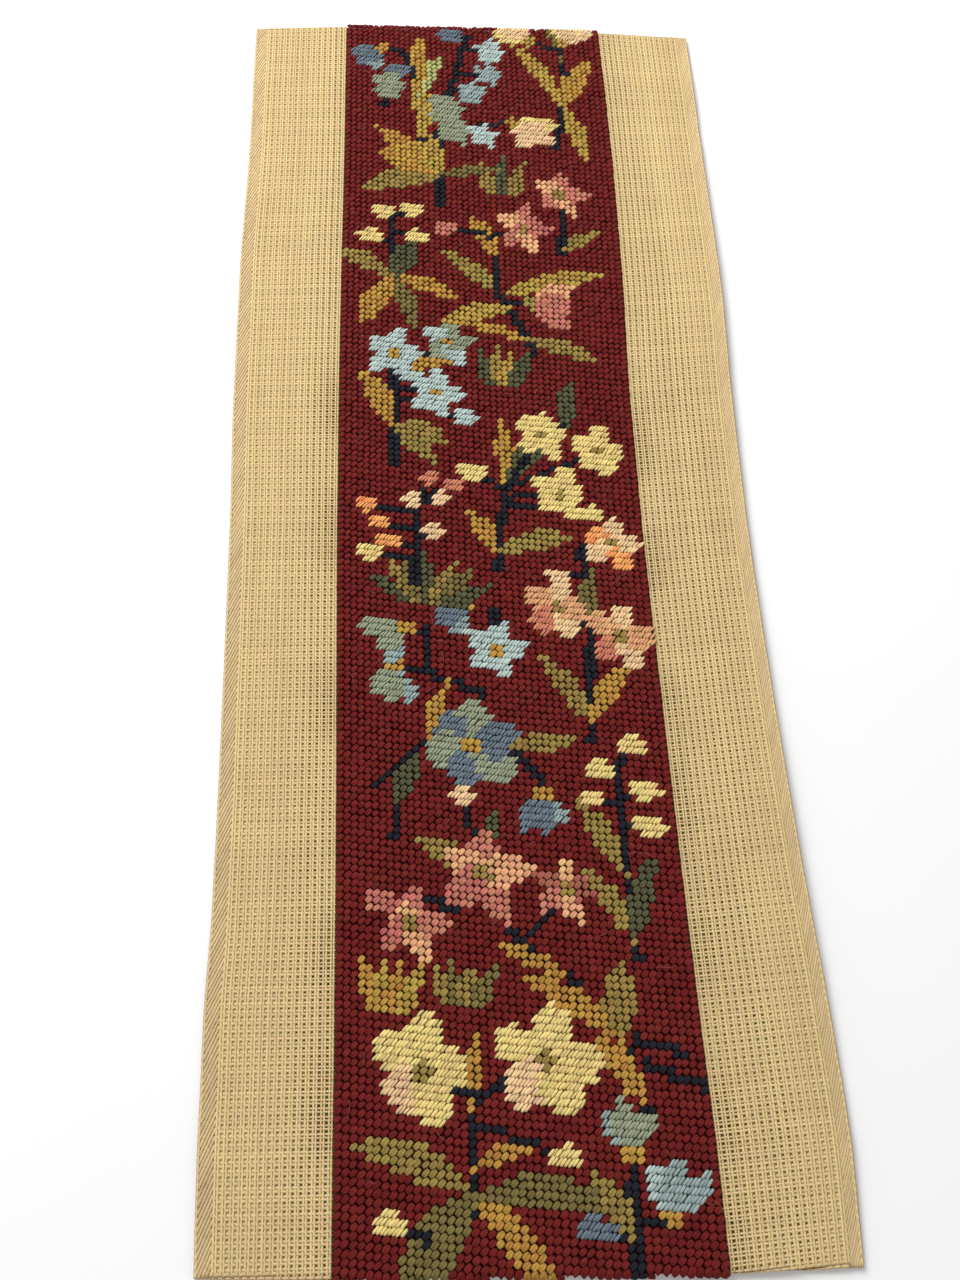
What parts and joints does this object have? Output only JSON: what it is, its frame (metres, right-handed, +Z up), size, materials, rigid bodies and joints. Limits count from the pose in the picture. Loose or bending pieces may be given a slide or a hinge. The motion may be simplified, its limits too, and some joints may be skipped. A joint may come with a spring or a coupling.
{
  "type": "needlepoint canvas panel",
  "caption": "Long strip of selvedged needlepoint canvas lying flat, a wool band of flower sprigs worked between bare canvas margins, its ends turned under.",
  "frame": {"origin": "on the surface that the strip lies on, under the middle of the whole strip's box", "axes": "+Z up from the surface towards the worked face, +Y along the strip towards its far end, +X to the right across the strip"},
  "size_m": [0.2112, 0.526, 0.0051],
  "materials": {
    "canvas": "unbleached double-thread cotton canvas, matte, with small open holes and dense selvedges",
    "wool_face": "burgundy tapestry wool in slanted tent stitch with coloured flower sprigs, matte and slightly fuzzy",
    "wool_back": "reverse of the wool stitches, matte and slightly fuzzy"
  },
  "bodies": {
    "root": {"canvas": "canvas", "wool_face": "wool_face", "wool_back": "wool_back"}
  },
  "joints": []
}
